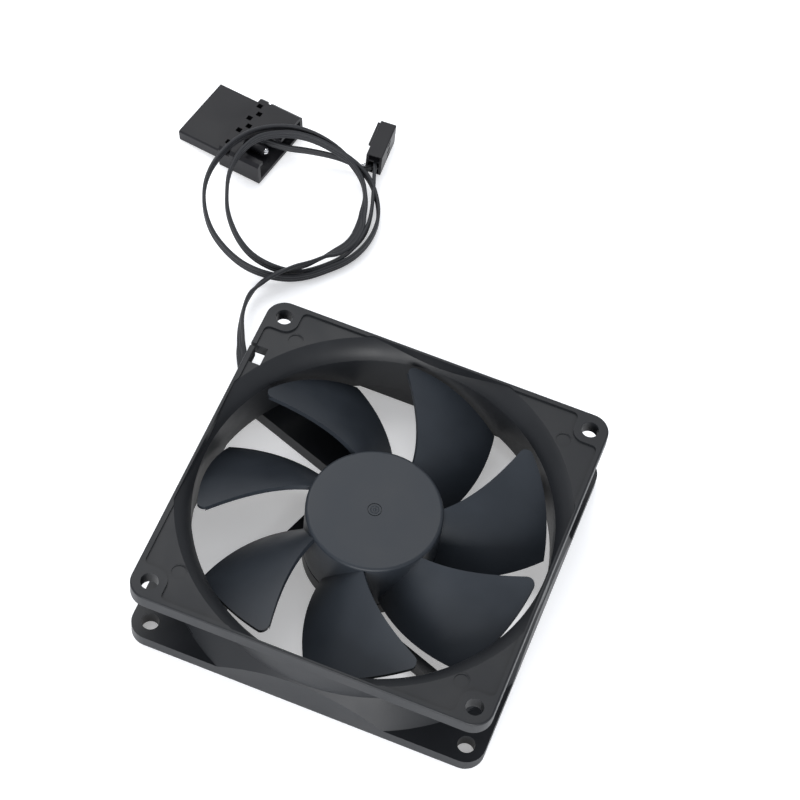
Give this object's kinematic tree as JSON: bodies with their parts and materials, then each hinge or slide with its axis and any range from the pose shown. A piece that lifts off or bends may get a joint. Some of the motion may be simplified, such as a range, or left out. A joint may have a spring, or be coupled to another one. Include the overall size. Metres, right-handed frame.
{
  "type": "case fan",
  "caption": "Square axial case fan with swept blades on a hub motor, screw holes through both flanges, and a coiled flat lead ending in a small plug and a larger power plug.",
  "frame": {"origin": "centre of the fan's square outline on the surface it lies on, at the outlet side", "axes": "+Z along the duct axis towards the intake side; X and Y along the sides of the square frame"},
  "size_m": [0.1425, 0.1697, 0.025],
  "materials": {
    "frame_plastic": "satin moulded thermoplastic, fine spark texture",
    "rotor_plastic": "smooth satin moulded thermoplastic",
    "plug_plastic": "satin moulded nylon",
    "lead_sheath": "soft satin PVC",
    "brass": "turned",
    "bronze": "sintered, oil filled",
    "core_steel": "stamped laminations",
    "yoke_steel": "drawn sheet",
    "shaft_steel": "ground and polished",
    "magnet": "bonded ferrite",
    "insulator_plastic": "natural nylon",
    "white_plastic": "natural nylon",
    "board": "solder mask",
    "black_epoxy": "moulded epoxy",
    "bare_aluminium": "bare can",
    "solder": "solder",
    "label": "blank printed film",
    "copper_wire": "enamelled wire",
    "contact_metal": "tin plated"
  },
  "bodies": {
    "housing": {"frame_housing": "frame_plastic", "bearing_holder": "brass", "bearing_end_plug": "white_plastic", "thrust_pad": "white_plastic", "sleeve_bearing": "bronze", "oil_seal_washer": "white_plastic", "stator_core": "core_steel", "insulator_upper": "insulator_plastic", "insulator_lower": "insulator_plastic", "circuit_board": "board", "driver_chip": "black_epoxy", "board_capacitor": "bare_aluminium", "board_resistors": "black_epoxy", "lead_solder_joints": "solder", "motor_label": "label", "inner_lead": "lead_sheath", "fan_lead_tube": "lead_sheath", "fan_lead_coil": "lead_sheath", "fan_lead_tail": "lead_sheath", "fan_plug_housing": "plug_plastic", "fan_plug_contacts": "contact_metal", "power_lead_tube": "lead_sheath", "power_plug_body": "plug_plastic", "power_plug_shroud": "plug_plastic", "power_plug_pins": "contact_metal", "coil_winding_1": "copper_wire", "coil_winding_2": "copper_wire", "coil_winding_3": "copper_wire", "coil_winding_4": "copper_wire"},
    "rotor": {"impeller": "rotor_plastic", "rotor_yoke": "yoke_steel", "ring_magnet": "magnet", "rotor_shaft": "shaft_steel", "shaft_bushing": "brass", "retaining_ring": "white_plastic", "slinger_washer": "white_plastic"}
  },
  "joints": [
    {"name": "impeller_spin", "type": "hinge", "parent": "housing", "child": "rotor", "pos_m": [0, 0, 0.012], "axis": [0, 0, 1], "continuous": true}
  ]
}
